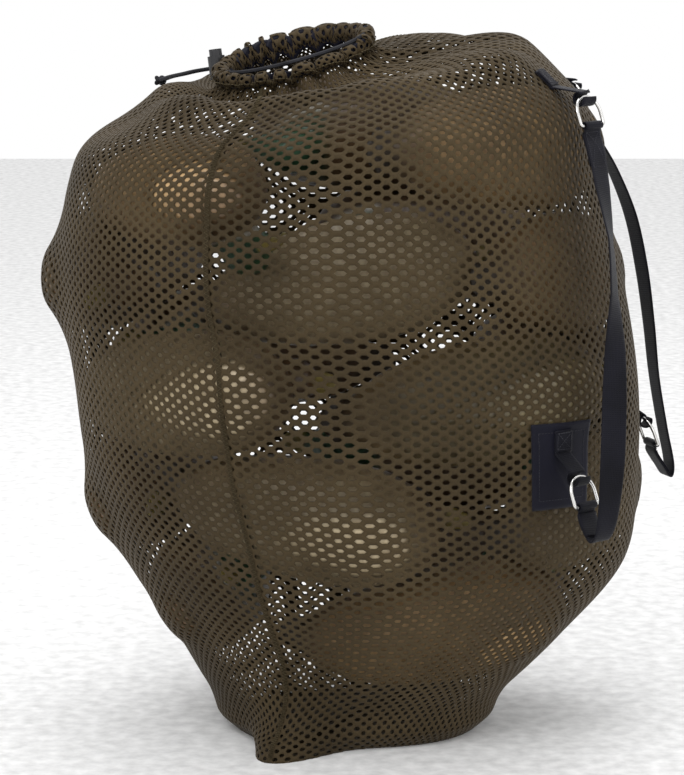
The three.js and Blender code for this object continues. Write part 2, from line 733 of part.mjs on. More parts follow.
const finishes = {
  net: { color: 0x54462b, roughness: 0.9, metalness: 0 },
  seam: { color: 0x463a24, roughness: 0.95, metalness: 0 },
  cord: { color: 0x111216, roughness: 0.8, metalness: 0 },
  lock: { color: 0x15161a, roughness: 0.45, metalness: 0 },
  spring: { color: 0xb9bcc0, roughness: 0.3, metalness: 1 },
  webbing: { color: 0x0d0e16, roughness: 0.75, metalness: 0 },
  nylon: { color: 0x11121c, roughness: 0.6, metalness: 0 },
  steel: { color: 0xc9cbcd, roughness: 0.22, metalness: 1 },
  decoyTan: { color: 0x8a7350, roughness: 0.55, metalness: 0 },
};

const assembly = new THREE.Group();

function add(name, geometry, finishName) {
  const mesh = new THREE.Mesh(finish(geometry), new THREE.MeshStandardMaterial(finishes[finishName]));
  mesh.name = name;
  assembly.add(mesh);
}

add('strap_side_panel', panel(seamBearing), 'net');
add('plain_panel', panel(seamBearing + 180), 'net');
add('front_seam', sideSeam(seamBearing), 'seam');
add('back_seam', sideSeam(seamBearing + 180), 'seam');
add('bottom_seam', bottomSeam(), 'seam');
add('mouth_casing', mouthCasing(), 'seam');
add('drawcord_loop', drawcordLoop(), 'cord');
add('drawcord_tail_a', tailTube(-1, cordDiameter / 2, tailEnd), 'cord');
add('drawcord_tail_b', tailTube(1, cordDiameter / 2, tailEnd), 'cord');
add('tail_knot', tailKnot(), 'cord');
add('cord_lock_body', lockBody(), 'lock');
add('cord_lock_button', lockButton(), 'lock');
add('cord_lock_spring', lockSpring(), 'spring');

for (const name of Object.keys(strapSides)) {
  const frame = sideFrame(name);
  add(`${name}_strap`, strap(frame, strapRoutes[name]), 'webbing');
  add(`${name}_upper_ring`, ring(frame, 'upper'), 'steel');
  add(`${name}_lower_ring`, ring(frame, 'lower'), 'steel');
  add(`${name}_upper_tab`, tab(name, frame, 'upper', webbingThickness + tabOffset), 'webbing');
  add(`${name}_lower_tab`, tab(name, frame, 'lower', patchOffset + patchThickness + webbingThickness + tabOffset), 'webbing');
  add(`${name}_patch`, patch(name), 'nylon');
}

decoyPlaces.forEach((place, k) => {
  add(`decoy_${String(k + 1).padStart(2, '0')}`, decoy(place), 'decoyTan');
});

// Stand the assembly on the floor, with the origin under the middle of its box.
const box = new THREE.Box3().setFromObject(assembly);
assembly.position.set(-(box.min.x + box.max.x) / 2, -(box.min.y + box.max.y) / 2, -box.min.z);

export default assembly;
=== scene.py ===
import math

import bpy
import numpy as np
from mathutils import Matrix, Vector
from mathutils.bvhtree import BVHTree


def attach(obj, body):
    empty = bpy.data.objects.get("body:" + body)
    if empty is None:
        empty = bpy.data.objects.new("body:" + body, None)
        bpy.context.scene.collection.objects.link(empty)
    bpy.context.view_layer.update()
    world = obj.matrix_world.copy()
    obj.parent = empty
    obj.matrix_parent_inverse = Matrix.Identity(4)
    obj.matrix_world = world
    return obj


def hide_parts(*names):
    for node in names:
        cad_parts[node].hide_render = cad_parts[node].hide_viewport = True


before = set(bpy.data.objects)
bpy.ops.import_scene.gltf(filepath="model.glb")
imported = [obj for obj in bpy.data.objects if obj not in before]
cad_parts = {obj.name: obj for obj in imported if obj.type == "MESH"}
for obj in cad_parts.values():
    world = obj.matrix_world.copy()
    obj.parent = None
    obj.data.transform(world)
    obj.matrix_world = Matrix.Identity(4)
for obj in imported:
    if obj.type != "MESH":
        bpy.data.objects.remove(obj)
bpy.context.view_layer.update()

# Mesh sack packed with duck decoys, with two webbing straps. Metres, in the frame of the CAD model.

# ---------------------------------------------------------------- sizes

mm = 0.001
shift_x = -17.095 * mm  # the CAD model's middle, along X
sack_half = np.array([309, 238]) * mm
sack_height = 695 * mm
corner_fullness = 2.25
seam_bearing = -113
corner_length = 70 * mm
corner_height = 66 * mm
corner_spread = 15

# Level sections from the rim to the floor: height, middle X and Y, half size X and Y, rise X and Y.
sections = np.array([
    [1.0, -0.19, -0.08, 0.235, 0.2, 0.26, 0.2],
    [0.984, -0.16, -0.07, 0.33, 0.31, 0.2, 0.16],
    [1.0, -0.04, -0.02, 0.6, 0.6, 0.14, 0.06],
    [0.935, -0.045, 0, 0.855, 0.84, 0.07, 0.01],
    [0.84, -0.06, 0, 0.93, 0.92, 0.02, 0],
    [0.69, -0.035, 0, 0.99, 0.985, 0, 0],
    [0.54, 0.015, 0, 0.995, 1.0, 0, 0],
    [0.4, 0.04, 0, 0.975, 0.98, 0, 0],
    [0.26, 0.08, 0, 0.895, 0.89, 0, 0],
    [0.14, 0.06, 0, 0.7, 0.75, 0, 0],
    [0.05, 0.02, 0, 0.54, 0.6, 0, 0],
    [0.0, 0.015, 0, 0.42, 0.47, 0, 0],
])

webbing_width = 25 * mm
webbing_thickness = 1.8 * mm
tab_width = 20 * mm
ring_wire = 3.6 * mm
ring_half_width = 17 * mm
ring_length = 30 * mm
ring_corner = 3 * mm
ring_lean = math.radians(22)
tab_eye_radius = 6 * mm  # 0.4 mm less than the CAD model's
tab_eye_drop = 2 * mm
tab_sewn_length = 44 * mm
strap_straight = 7 * mm
bar_clearance = 0.6 * mm

cord_diameter = 4 * mm
cord_spacing = 5.4 * mm
casing_height = 22 * mm

# Strap sides: the way each faces, the bearings of its rings, and its rings' crowns.
strap_sides = {
    "near": {
        "faces": -46, "upper_bearing": -25, "lower_bearing": -50,
        "upper": (0.21561, -0.10073, 0.67206), "lower": (0.20737, -0.19524, 0.30406),
    },
    "far": {
        "faces": 21, "upper_bearing": 27, "lower_bearing": 17,
        "upper": (0.21801, 0.10297, 0.66998), "lower": (0.29752, 0.08376, 0.31101),
    },
}

# Strap routes between the bars: share of the drop, distance outwards in mm, twist in degrees.
strap_routes = {
    "near": [
        (0.07, 6, 0), (0.16, 14, 8), (0.3, 26, 34), (0.44, 32, 26), (0.58, 34, -12), (0.72, 34, -34),
        (0.86, 33, -34), (0.97, 30, -18), (1.05, 25, -6), (1.085, 16, 0), (1.06, 6, 0),
    ],
    "far": [
        (0.08, 8, 0), (0.18, 22, 4), (0.32, 32, 8), (0.48, 32, 8), (0.64, 27, 4), (0.8, 20, 0),
        (0.95, 17, 0), (1.06, 16, 0), (1.1, 10, 0), (1.07, 4, 0),
    ],
}

# The free cord ends' route, between the two cords.
tail_route = [
    (-0.14223, 0.00362, 0.69591), (-0.16071, 0.01893, 0.69191), (-0.17919, 0.03424, 0.68791),
    (-0.19268, 0.04931, 0.68391), (-0.20207, 0.06619, 0.68091), (-0.20955, 0.08537, 0.67791),
    (-0.21831, 0.10302, 0.67391),
]
tail_across = np.array([-0.63803, -0.77001, 0.0])
tail_end = 2 * mm

# Decoys: bearing, height in mm, turn, extra set-back in mm, and the colours of the belly and head.
# Those within the strap side's bearings lie further in, clear of the rings and patches.
decoy_places = [
    [-72, 98, 12, 18, "straw", "green"],
    [56, 104, -8, 16, "tan", "brown"],
    [176, 106, 8, 18, "brown", "green"],
    [-103, 240, -8, 14, "cream", "brown"],
    [-20, 245, 6, 12, "cream", "green"],
    [74, 246, 4, 14, "tan", "green"],
    [164, 242, -10, 14, "brown", "brown"],
    [-134, 370, 6, 14, "cream", "brown"],
    [-66, 372, 6, 14, "olive", "green"],
    [25, 374, -4, 16, "brown", "brown"],
    [112, 372, 8, 14, "tan", "green"],
    [-90, 500, 10, 85, "cream", "green"],
    [-18, 504, -6, 12, "tan", "brown"],
    [68, 502, 4, 14, "tan", "green"],
    [156, 490, -8, 14, "olive", "brown"],
    [-150, 652, 4, 36, "straw", "green"],
    [-38, 636, -4, 24, "straw", "brown"],
    [80, 636, 2, 24, "brown", "green"],
]
decoy_half = np.array([142.5, 64, 52]) * mm
decoy_touch = 3 * mm  # between the net and the nearest side of a decoy
decoy_clear = 11.5 * mm  # the same on the strap side
strap_side_bearings = 62

paints = {
    "cream": (0.42, 0.34, 0.21),
    "straw": (0.52, 0.34, 0.16),
    "tan": (0.30, 0.19, 0.09),
    "olive": (0.14, 0.11, 0.05),
    "brown": (0.10, 0.056, 0.025),
    "green": (0.025, 0.09, 0.04),
    "bill": (0.35, 0.28, 0.08),
    "dark": (0.02, 0.016, 0.012),
    "white": (0.55, 0.52, 0.45),
}

# The net: staggered six-sided holes.
hole_columns = 108
hole_row = 5.5 * mm
net_thickness = 1.1 * mm
net_pieces = 6

# The settled net's grid, how far it may stand in and out, and how often it is smoothed.
hem_rows = 26
wall_rows = 240
base_rows = 24
round_columns = 360
deepest_sag = 13 * mm
proudest_bulge = 6 * mm
settling_steps = 700
hem_roll = (-62, 232)

patch_width = 66 * mm
patch_height = 90 * mm
patch_grid = 29
floor_half = 6
cloth_shine = 0.12

# ---------------------------------------------------------------- camera, floor and light

camera_aim = Vector((-0.0269, 0.0, 0.359))
camera_elevation = math.radians(10)
camera_distance = 3.2
picture_width = 0.7182  # metres across the picture at the object's middle


def add_camera():
    data = bpy.data.cameras.new("camera")
    data.sensor_fit = "HORIZONTAL"
    data.sensor_width = 36
    data.lens = data.sensor_width * camera_distance / picture_width
    camera = bpy.data.objects.new("camera", data)
    away = Vector((0, -math.cos(camera_elevation), math.sin(camera_elevation)))
    camera.location = camera_aim + away * camera_distance
    camera.rotation_euler = (-away).to_track_quat("-Z", "Y").to_euler()
    bpy.context.scene.collection.objects.link(camera)
    bpy.context.scene.camera = camera


def add_area_light(name, place, aim, size, power):
    data = bpy.data.lights.new(name, "AREA")
    data.shape = "RECTANGLE"
    data.size, data.size_y = size
    data.energy = power
    light = bpy.data.objects.new(name, data)
    light.location = place
    light.rotation_euler = (Vector(aim) - Vector(place)).to_track_quat("-Z", "Y").to_euler()
    bpy.context.scene.collection.objects.link(light)


def add_world(strength):
    world = bpy.data.worlds.new("studio")
    world.use_nodes = True
    background = world.node_tree.nodes["Background"]
    background.inputs["Color"].default_value = (1, 1, 1, 1)
    background.inputs["Strength"].default_value = strength
    bpy.context.scene.world = world
    bpy.context.scene.view_settings.view_transform = "Standard"


# ---------------------------------------------------------------- materials

def new_material(name):
    material = bpy.data.materials.new(name)
    material.use_nodes = True
    nodes = material.node_tree.nodes
    shader = nodes["Principled BSDF"]
    return material, nodes, material.node_tree.links, shader


def noise_node(nodes, links, scale, detail=3.0, vector=None):
    noise = nodes.new("ShaderNodeTexNoise")
    noise.inputs["Scale"].default_value = scale
    noise.inputs["Detail"].default_value = detail
    if vector is not None:
        links.new(vector, noise.inputs["Vector"])
    return noise


def object_vector(nodes):
    return nodes.new("ShaderNodeTexCoord").outputs["Object"]


def ramp_node(nodes, links, factor, low, high, start=0.3, end=0.7):
    ramp = nodes.new("ShaderNodeValToRGB")
    ramp.color_ramp.elements[0].position = start
    ramp.color_ramp.elements[1].position = end
    ramp.color_ramp.elements[0].color = (*low, 1)
    ramp.color_ramp.elements[1].color = (*high, 1)
    links.new(factor, ramp.inputs["Fac"])
    return ramp


def bump_node(nodes, links, height, distance, strength, under=None):
    bump = nodes.new("ShaderNodeBump")
    bump.inputs["Strength"].default_value = strength
    bump.inputs["Distance"].default_value = distance
    links.new(height, bump.inputs["Height"])
    if under is not None:
        links.new(under, bump.inputs["Normal"])
    return bump.outputs["Normal"]


def mix_node(nodes, links, blend, share, first, second):
    mix = nodes.new("ShaderNodeMixRGB")
    mix.blend_type = blend
    mix.inputs["Fac"].default_value = share
    links.new(first, mix.inputs["Color1"])
    links.new(second, mix.inputs["Color2"])
    return mix.outputs["Color"]


def weave_map(nodes):
    uv = nodes.new("ShaderNodeUVMap")
    uv.uv_map = "Weave"
    return uv.outputs["UV"]


def weave_height(nodes, links, across, along):
    """Threads over and under: two crossed bands read from the piece's own woven map, in metres."""
    woven = weave_map(nodes)
    bands = []
    for direction, pitch in (("X", across), ("Y", along)):
        wave = nodes.new("ShaderNodeTexWave")
        wave.bands_direction = direction
        wave.inputs["Scale"].default_value = 1 / (pitch * 20 / (2 * math.pi))
        wave.inputs["Distortion"].default_value = 0.25
        links.new(woven, wave.inputs["Vector"])
        bands.append(wave.outputs["Fac"])
    product = nodes.new("ShaderNodeMath")
    product.operation = "MULTIPLY"
    links.new(bands[0], product.inputs[0])
    links.new(bands[1], product.inputs[1])
    return product.outputs["Value"]


def cloth_material(name, dark, light, roughness, patches, grain, weave=None, depth=0.3 * mm, sheen=0.0):
    """Woven cloth: broad and fine colour variation, fibres, and a weave where the piece has a map for it."""
    material, nodes, links, shader = new_material(name)
    place = object_vector(nodes)
    broad = noise_node(nodes, links, patches, 4, place)
    tone = ramp_node(nodes, links, broad.outputs["Fac"], dark, light)
    fine = noise_node(nodes, links, grain, 2, place)
    mixed = mix_node(nodes, links, "OVERLAY", 0.45, tone.outputs["Color"], fine.outputs["Fac"])
    links.new(mixed, shader.inputs["Base Color"])
    normal = bump_node(nodes, links, fine.outputs["Fac"], depth, 0.35)
    if weave:
        normal = bump_node(nodes, links, weave_height(nodes, links, *weave), depth, 0.8, normal)
    links.new(normal, shader.inputs["Normal"])
    shader.inputs["Roughness"].default_value = roughness
    shader.inputs["Sheen Weight"].default_value = sheen
    shader.inputs["Sheen Roughness"].default_value = 0.4
    shader.inputs["Specular IOR Level"].default_value = cloth_shine
    return material


def metal_material(name, colour, roughness):
    material, nodes, links, shader = new_material(name)
    place = object_vector(nodes)
    smudge = noise_node(nodes, links, 90, 3, place)
    tone = ramp_node(nodes, links, smudge.outputs["Fac"], tuple(0.8 * c for c in colour), colour)
    links.new(tone.outputs["Color"], shader.inputs["Base Color"])
    rough = nodes.new("ShaderNodeMapRange")
    rough.inputs["To Min"].default_value = roughness * 0.7
    rough.inputs["To Max"].default_value = roughness * 1.5
    links.new(smudge.outputs["Fac"], rough.inputs["Value"])
    links.new(rough.outputs["Result"], shader.inputs["Roughness"])
    scratch = noise_node(nodes, links, 1400, 2, place)
    links.new(bump_node(nodes, links, scratch.outputs["Fac"], 0.05 * mm, 0.2), shader.inputs["Normal"])
    shader.inputs["Metallic"].default_value = 1
    return material


def plastic_material(name, colour, roughness):
    material, nodes, links, shader = new_material(name)
    place = object_vector(nodes)
    cloud = noise_node(nodes, links, 60, 3, place)
    tone = ramp_node(nodes, links, cloud.outputs["Fac"], tuple(0.75 * c for c in colour), colour)
    links.new(tone.outputs["Color"], shader.inputs["Base Color"])
    grain = noise_node(nodes, links, 2200, 2, place)
    links.new(bump_node(nodes, links, grain.outputs["Fac"], 0.08 * mm, 0.4), shader.inputs["Normal"])
    shader.inputs["Roughness"].default_value = roughness
    return material


def decoy_material():
    """Painted plastic: the paint of each place, broken by mottling and rows of feather marks."""
    material, nodes, links, shader = new_material("decoy_paint")
    place = object_vector(nodes)
    paint = nodes.new("ShaderNodeVertexColor")
    paint.layer_name = "Paint"
    mottle = noise_node(nodes, links, 45, 5, place)
    shade = ramp_node(nodes, links, mottle.outputs["Fac"], (0.5, 0.47, 0.42), (1, 1, 1), 0.32, 0.62)
    mixed = mix_node(nodes, links, "MULTIPLY", 0.8, paint.outputs["Color"], shade.outputs["Color"])
    feathers = nodes.new("ShaderNodeTexVoronoi")
    feathers.inputs["Scale"].default_value = 70
    links.new(weave_map(nodes), feathers.inputs["Vector"])
    marks = ramp_node(nodes, links, feathers.outputs["Distance"], (1, 1, 1), (0.55, 0.5, 0.45), 0.35, 0.75)
    marked = mix_node(nodes, links, "MULTIPLY", 0.5, mixed, marks.outputs["Color"])
    links.new(marked, shader.inputs["Base Color"])
    normal = bump_node(nodes, links, feathers.outputs["Distance"], 1.2 * mm, 0.4)
    links.new(normal, shader.inputs["Normal"])
    shader.inputs["Roughness"].default_value = 0.38
    return material


# ---------------------------------------------------------------- mesh tools

def add_object(name, points, faces, material):
    mesh = bpy.data.meshes.new(name)
    mesh.from_pydata([tuple(p) for p in points], [], [tuple(f) for f in faces])
    mesh.materials.append(material)
    mesh.shade_smooth()
    thing = bpy.data.objects.new(name, mesh)
    bpy.context.scene.collection.objects.link(thing)
    return thing


def mesh_points(mesh):
    points = np.empty(len(mesh.vertices) * 3)
    mesh.vertices.foreach_get("co", points)
    return points.reshape(-1, 3)


def set_loop_map(mesh, name, values):
    layer = mesh.uv_layers.new(name=name)
    layer.data.foreach_set("uv", np.asarray(values, dtype=np.float32).ravel())


def set_point_map(thing, name, values):
    corners = np.empty(len(thing.data.loops), dtype=np.int32)
    thing.data.loops.foreach_get("vertex_index", corners)
    set_loop_map(thing.data, name, np.asarray(values)[corners])


def unit(vectors):
    return vectors / np.maximum(np.linalg.norm(vectors, axis=-1, keepdims=True), 1e-12)


def catmull(p0, p1, p2, p3, t):
    linear = (p2 - p0) * t
    square = (2 * p0 - 5 * p1 + 4 * p2 - p3) * t * t
    cube = (3 * p1 - p0 - 3 * p2 + p3) * t ** 3
    return 0.5 * (2 * p1 + linear + square + cube)


def smooth_route(points, steps):
    """Points along a smooth curve through the given ones."""
    points = np.asarray(points, dtype=float)
    padded = np.vstack([2 * points[0] - points[1], points, 2 * points[-1] - points[-2]])
    routes = []
    for k in range(len(points) - 1):
        routes += [catmull(*padded[k:k + 4], t) for t in np.arange(steps) / steps]
    return np.vstack([routes, points[-1:]])


def run_along(points):
    """How far along the route each point is."""
    return np.concatenate([[0], np.cumsum(np.linalg.norm(np.diff(points, axis=0), axis=1))])


def tangents(points, closed=False):
    if closed:
        return unit(np.roll(points, -1, axis=0) - np.roll(points, 1, axis=0))
    return unit(np.gradient(points, axis=0))


def circle_outline(radius, sides):
    angle = 2 * np.pi * np.arange(sides) / sides
    return np.stack([radius * np.cos(angle), radius * np.sin(angle)], axis=1)


def flat_outline(width, thickness):
    """A webbing section with rounded edges."""
    across = np.array([-0.5, -0.47, -0.35, -0.12, 0.12, 0.35, 0.47, 0.5])
    lift = np.array([0.12, 0.42, 0.5, 0.5, 0.5, 0.5, 0.42, 0.12])
    top = np.stack([across * width, lift * thickness], axis=1)
    bottom = np.stack([across[::-1] * width, -lift[::-1] * thickness], axis=1)
    return np.vstack([bottom, top])


def section_rings(points, widths, heights, outline):
    return points[:, None] + widths[:, None] * outline[None, :, :1] + heights[:, None] * outline[None, :, 1:]


def tube_faces(count, size, closed=False):
    """Faces between rings of points, with a face over each end unless the tube is closed."""
    faces = []
    for k in range(count if closed else count - 1):
        here, ahead = k * size, (k + 1) % count * size
        faces += [(here + m, here + (m + 1) % size, ahead + (m + 1) % size, ahead + m) for m in range(size)]
    if not closed:
        faces += [tuple(range(size))[::-1], tuple((count - 1) * size + m for m in range(size))]
    return faces


def sweep(name, points, widths, outline, material, closed=False):
    """A section carried along points; widths give the direction of the section's first axis."""
    along = tangents(points, closed)
    widths = unit(widths - along * (widths * along).sum(axis=1, keepdims=True))
    heights = np.cross(along, widths)
    rings = section_rings(points, widths, heights, outline)
    count, size = rings.shape[:2]
    thing = add_object(name, rings.reshape(-1, 3), tube_faces(count, size, closed), material)
    woven = np.stack([np.tile(outline[:, 0], count), np.repeat(run_along(points), size)], axis=1)
    set_point_map(thing, "Weave", woven)
    return thing


def frames_along(points):
    """Directions square to a route that turn with it as little as possible."""
    along = tangents(points)
    side = unit(np.cross(along[0], [0.3, 0.2, 1.0]))
    sides = []
    for direction in along:
        side = unit(side - direction * side.dot(direction))
        sides.append(side)
    return np.array(sides)


def merged(name, things):
    """One object from several with the same material."""
    bpy.ops.object.select_all(action="DESELECT")
    for thing in things:
        thing.select_set(True)
    bpy.context.view_layer.objects.active = things[0]
    bpy.ops.object.join()
    things[0].name = name
    things[0].data.name = name
    return things[0]


def stitches(name, points, normals, stitch, gap, radius, material):
    """A line of thread: short arched stitches with gaps, laid along points on a surface."""
    run = run_along(points)
    count = max(1, int((run[-1] + gap) / (stitch + gap)))
    sides, bends = 6, 5
    corners, faces = [], []
    at = lambda where, values: np.stack([np.interp(where, run, values[:, k]) for k in range(3)], axis=-1)
    for k in range(count):
        where = k * (stitch + gap) + np.linspace(0, stitch, bends)
        middle = at(where, points)
        lift = unit(at(where, normals))
        arch = np.array([-0.9, 0.5, 0.8, 0.5, -0.9]) * radius
        middle = middle + lift * arch[:, None]
        along = tangents(middle)
        side = unit(np.cross(along, lift))
        rise = np.cross(side, along)
        start = len(corners) * bends * sides
        corners.append(section_rings(middle, side, rise, circle_outline(radius, sides)).reshape(-1, 3))
        faces += [tuple(start + m for m in face) for face in tube_faces(bends, sides)]
    return add_object(name, np.vstack(corners), faces, material)


# ---------------------------------------------------------------- the sack's surface

def smooth_surface(v, bearing):
    """The CAD model's surface at a place v, from 0 at the rim to 1 at the floor, and a bearing."""
    last = len(sections) - 1
    span = np.clip(v, 0, 0.999999) * last
    k = np.floor(span).astype(int)
    row = lambda i: sections[np.clip(i, 0, last)]
    value = catmull(row(k - 1), row(k), row(k + 1), row(k + 2), (span - k)[..., None])
    height = np.maximum(0, value[..., 0]) * sack_height
    angle = np.radians(bearing)
    rounded = lambda x: np.sign(x) * np.abs(x) ** (2 / corner_fullness)
    dx = value[..., 3] * sack_half[0] * rounded(np.cos(angle))
    dy = value[..., 4] * sack_half[1] * rounded(np.sin(angle))
    nearest = 0
    for seam in (seam_bearing, seam_bearing + 180):
        apart = (bearing - seam + 180) % 360 - 180
        nearest = np.maximum(nearest, np.exp(-((apart / corner_spread) ** 2)))
    low = np.clip(1 - height / corner_height, 0, 1)
    pull = 1 + corner_length * low ** 1.6 * nearest / np.hypot(dx, dy)
    x = value[..., 1] * sack_half[0] + dx * pull + shift_x
    y = value[..., 2] * sack_half[1] + dy * pull
    return np.stack([x, y, height + dx * value[..., 5] + dy * value[..., 6]], axis=-1)


def place_of_height(bearing, height):
    """The place v where the smooth surface passes a height, below the mouth."""
    low, high = 2 / (len(sections) - 1), 1.0
    for _ in range(40):
        middle = (low + high) / 2
        if smooth_surface(np.array(middle), np.array(float(bearing)))[2] < height:
            high = middle
        else:
            low = middle
    return low


def grid_normals(grid):
    """Outward directions on a grid whose rows run down and whose columns run round."""
    down = np.gradient(grid, axis=0)
    round_way = np.roll(grid, -1, axis=1) - np.roll(grid, 1, axis=1)
    return unit(-np.cross(round_way, down))


# ---------------------------------------------------------------- decoys

def decoy_template():
    """One decoy along +X with its belly at -Z: a blended body, neck, head and bill."""
    half = decoy_half[0]
    along = np.array([-1, -0.93, -0.82, -0.62, -0.3, 0, 0.3, 0.55, 0.76, 0.92, 1.0]) * half
    widths = np.array([4, 15, 29, 46, 58, 63, 64, 60, 48, 29, 5]) * mm
    tops = np.array([30, 35, 38, 42, 46, 50, 52, 50, 42, 27, 6]) * mm
    floors = np.array([24, 8, -12, -32, -45, -51, -52, -50, -42, -27, -6]) * mm
    count, size = 40, 28
    x = np.linspace(-half, half, count)
    angle = 2 * np.pi * np.arange(size) / size
    rounding = lambda s: np.sign(s) * np.abs(s) ** 0.88
    width, top, floor = (np.interp(x, along, values) for values in (widths, tops, floors))
    y = width[:, None] * rounding(np.cos(angle))[None]
    z = ((top + floor) / 2)[:, None] + ((top - floor) / 2)[:, None] * rounding(np.sin(angle))[None]
    rings = np.stack([np.repeat(x, size).reshape(count, size), y, z], axis=-1)
    body = add_object("decoy_template", rings.reshape(-1, 3), tube_faces(count, size), materials["decoy"])

    def ball(place, size, turn=0.0):
        bpy.ops.mesh.primitive_uv_sphere_add(segments=28, ring_count=18, radius=0.5, location=place,
                                             rotation=(0, turn, 0), scale=size)
        return bpy.context.object

    neck = ball((0.6 * half, 0, 36 * mm), (52 * mm, 42 * mm, 66 * mm), 0.2)
    head = ball((0.68 * half, 0, 62 * mm), (66 * mm, 46 * mm, 54 * mm))
    cheek = ball((0.82 * half, 0, 56 * mm), (46 * mm, 36 * mm, 36 * mm))
    bill = ball((1.0 * half, 0, 52 * mm), (62 * mm, 27 * mm, 13 * mm), 0.12)
    tail = ball((-0.93 * half, 0, 32 * mm), (46 * mm, 54 * mm, 9 * mm), 0.25)
    whole = merged("decoy_template", [body, neck, head, cheek, bill, tail])
    whole.data.materials.clear()
    whole.data.materials.append(materials["decoy"])
    remesh = whole.modifiers.new("blend", "REMESH")
    remesh.mode = "VOXEL"
    remesh.voxel_size = 4.2 * mm
    soften = whole.modifiers.new("soften", "SMOOTH")
    soften.factor = 0.5
    soften.iterations = 5
    bpy.ops.object.modifier_apply(modifier="blend")
    bpy.ops.object.modifier_apply(modifier="soften")
    points = mesh_points(whole.data)
    faces = [tuple(face.vertices) for face in whole.data.polygons]
    bpy.data.objects.remove(whole)
    return points, faces


def blend_paint(colours, paint, amount):
    amount = np.clip(amount, 0, 1)[:, None]
    return colours * (1 - amount) + np.array(paints[paint])[None] * amount


def paint_decoy(points, belly, head):
    """Colours by place on the bird: belly, flanks, back, breast, tail, head, neck ring, bill and eyes."""
    x, y, z = points[:, 0] / decoy_half[0], points[:, 1] / mm, points[:, 2] / mm
    soft = lambda value, edge, width: 1 / (1 + np.exp(-(value - edge) / width))
    colours = np.tile(np.array(paints[belly]), (len(points), 1))
    colours = blend_paint(colours, "tan", 0.5 * soft(z, -18, 6))
    colours = blend_paint(colours, "brown", 0.85 * soft(z, 14, 5))
    colours = blend_paint(colours, "brown", 0.7 * soft(x, 0.72, 0.05) * soft(z, -30, 8))
    colours = blend_paint(colours, "dark", 0.85 * soft(-x, 0.8, 0.04) * soft(z, 0, 8))
    wing = np.exp(-(((x + 0.15) / 0.16) ** 2) - ((z - 12) / 9) ** 2)
    colours = blend_paint(colours, "dark", 0.6 * wing)
    on_head = soft(z, 40, 2.0) * soft(x, 0.42, 0.02)
    colours = blend_paint(colours, head, on_head)
    if head == "green":
        ring = np.exp(-(((z - 38) / 2.5) ** 2)) * soft(x, 0.42, 0.02)
        colours = blend_paint(colours, "white", ring)
    colours = blend_paint(colours, "bill", soft(x, 1.0, 0.008) * soft(z, 40, 1.5))
    eye = np.exp(-(((x - 0.78) / 0.03) ** 2) - ((z - 66) / 4) ** 2)
    return blend_paint(colours, "dark", 1.6 * eye * soft(np.abs(y), 14, 1))


def decoy_frame(bearing, height, turn, set_back):
    v = np.array(place_of_height(bearing, height * mm))
    b = np.array(float(bearing))
    down = smooth_surface(v + 0.004, b) - smooth_surface(v - 0.004, b)
    round_way = smooth_surface(v, b + 0.5) - smooth_surface(v, b - 0.5)
    out = unit(-np.cross(round_way, down))
    level = unit(np.cross([0, 0, 1.0], out))
    angle = math.radians(turn)
    nose = level * math.cos(angle) + np.cross(out, level) * math.sin(angle)
    side = np.cross(-out, nose)
    touch = decoy_touch + 0.8 * set_back * mm
    if abs(bearing) < strap_side_bearings:
        touch = decoy_clear + set_back * mm
    origin = smooth_surface(v, b) - out * (decoy_half[2] + touch)
    return origin, np.stack([nose, side, -out])


def add_decoys():
    template, faces = decoy_template()
    made = []
    for number, (bearing, height, turn, set_back, belly, head) in enumerate(decoy_places, 1):
        origin, directions = decoy_frame(bearing, height, turn, set_back)
        points = origin + template @ directions
        thing = add_object(f"duck_{number:02d}", points, faces, materials["decoy"])
        colours = np.concatenate([paint_decoy(template, belly, head), np.ones((len(template), 1))], axis=1)
        layer = thing.data.color_attributes.new("Paint", "FLOAT_COLOR", "POINT")
        layer.data.foreach_set("color", colours.astype(np.float32).ravel())
        set_point_map(thing, "Weave", template[:, :2] * 3)
        made.append(thing)
        keep(thing, "sack", "decoy_plastic", f"decoy_{number:02d}")
    return made


# ---------------------------------------------------------------- the net over its load

def settle(grid, normals, decoys, v):
    """How far the net lies inside the smooth surface: pulled in tight, and held out by the decoys."""
    corners, faces, start = [], [], 0
    for thing in decoys:
        corners.append(mesh_points(thing.data))
        faces += [tuple(start + k for k in face.vertices) for face in thing.data.polygons]
        start += len(thing.data.vertices)
    tree = BVHTree.FromPolygons([Vector(p) for p in np.vstack(corners)], faces)
    stand_off = 40 * mm
    gap = np.full(grid.shape[:2], deepest_sag)
    for r in range(grid.shape[0]):
        for c in range(grid.shape[1]):
            inward = Vector(-normals[r, c])
            hit = tree.ray_cast(Vector(grid[r, c]) - inward * stand_off, inward, stand_off + deepest_sag)
            if hit[0] is not None:
                gap[r, c] = hit[3] - stand_off - 1.5 * mm
    bulge = np.full(grid.shape[:2], proudest_bulge)
    for side in strap_sides.values():
        for end in ("upper", "lower"):
            away = np.linalg.norm(grid - np.array(side[end]), axis=2)
            bulge = np.minimum(bulge, np.clip((away - 60 * mm) * 0.15, 0, proudest_bulge))
    gap = np.clip(gap, -bulge, deepest_sag)
    held = np.clip(np.minimum(v / 0.2, (1 - v) / 0.06), 0, 1)[:, None]
    pull = 0.035 * mm
    inward = np.zeros_like(gap)
    for _ in range(settling_steps):
        above = np.vstack([inward[:1], inward[:-1]])
        below = np.vstack([inward[1:], inward[-1:]])
        around = (np.roll(inward, 1, axis=1) + np.roll(inward, -1, axis=1) + above + below) / 4
        inward = np.minimum(gap, around + pull) * held
    return inward


